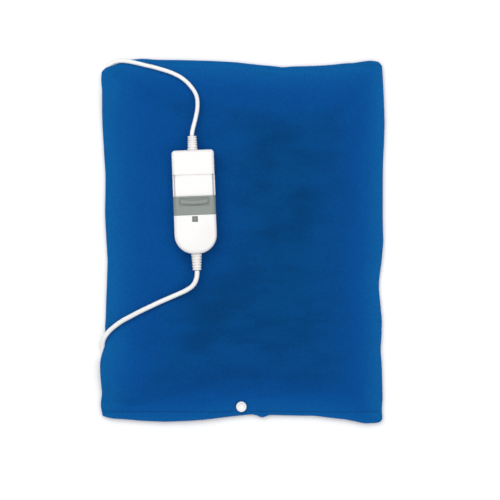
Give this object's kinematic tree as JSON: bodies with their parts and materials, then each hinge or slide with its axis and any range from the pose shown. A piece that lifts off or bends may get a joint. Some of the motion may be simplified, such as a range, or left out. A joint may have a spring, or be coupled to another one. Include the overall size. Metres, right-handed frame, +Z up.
{
  "type": "heating pad",
  "caption": "Flat quilted electric heating pad in a blue cloth cover, with a hand controller with a sliding heat switch, a coiled mains lead and a two-pin plug.",
  "frame": {"origin": "on the surface that the pad lies on, under the middle of the pad", "axes": "+X to the right of the pad, +Y towards its top edge, where the pad lead leaves, +Z up out of the pad's front"},
  "size_m": [0.312, 0.4, 0.0529],
  "materials": {
    "cover_cloth": "brushed cotton, matt",
    "padding": "needled felt, matt",
    "heating_wire": "matt insulation",
    "white_shell": "glossy moulded",
    "grey_slider": "satin moulded",
    "indicator_lens": "glossy tinted",
    "inner_plastic": "matt moulded",
    "circuit_board": "matt laminate",
    "contact_metal": "plain",
    "steel": "plain",
    "white_cord": "satin PVC"
  },
  "bodies": {
    "pad_and_case": {"cover_back_panel": "cover_cloth", "cover_front_panel": "cover_cloth", "insert_back_layer": "padding", "insert_front_layer": "padding", "heating_wire": "heating_wire", "pad_lead_gland": "white_shell", "stud_back_cap": "white_shell", "stud_post": "white_shell", "stud_socket": "white_shell", "stud_cap": "white_shell", "case_back_shell": "white_shell", "case_front_shell": "white_shell", "pad_lead_relief": "white_shell", "mains_lead_relief": "white_shell", "indicator_lens": "indicator_lens", "indicator_light": "indicator_lens", "wire_junction": "inner_plastic", "thermostat_1": "inner_plastic", "thermostat_2": "inner_plastic", "thermal_fuse": "inner_plastic", "half_wave_diode": "inner_plastic", "pad_terminal": "inner_plastic", "mains_terminal": "inner_plastic", "coil_tie": "inner_plastic", "circuit_board": "circuit_board", "fixed_contact_0": "contact_metal", "fixed_contact_1": "contact_metal", "fixed_contact_2": "contact_metal", "fixed_contact_3": "contact_metal", "case_screw_1": "steel", "case_screw_2": "steel", "case_screw_3": "steel", "case_screw_4": "steel", "plug_pin_1": "steel", "plug_pin_2": "steel", "pad_lead": "white_cord", "mains_lead": "white_cord", "mains_lead_coil": "white_cord", "mains_lead_tail": "white_cord", "plug_relief": "white_cord", "plug_body": "white_cord"},
    "heat_slider": {"slider_saddle": "grey_slider", "slider_carrier": "inner_plastic", "contact_bridge": "contact_metal", "detent_spring": "steel"}
  },
  "joints": [
    {"name": "heat_slide", "type": "slide", "parent": "pad_and_case", "child": "heat_slider", "axis": [-0.0375, 0.9993, 0], "range_m": [0, 0.0225]}
  ]
}
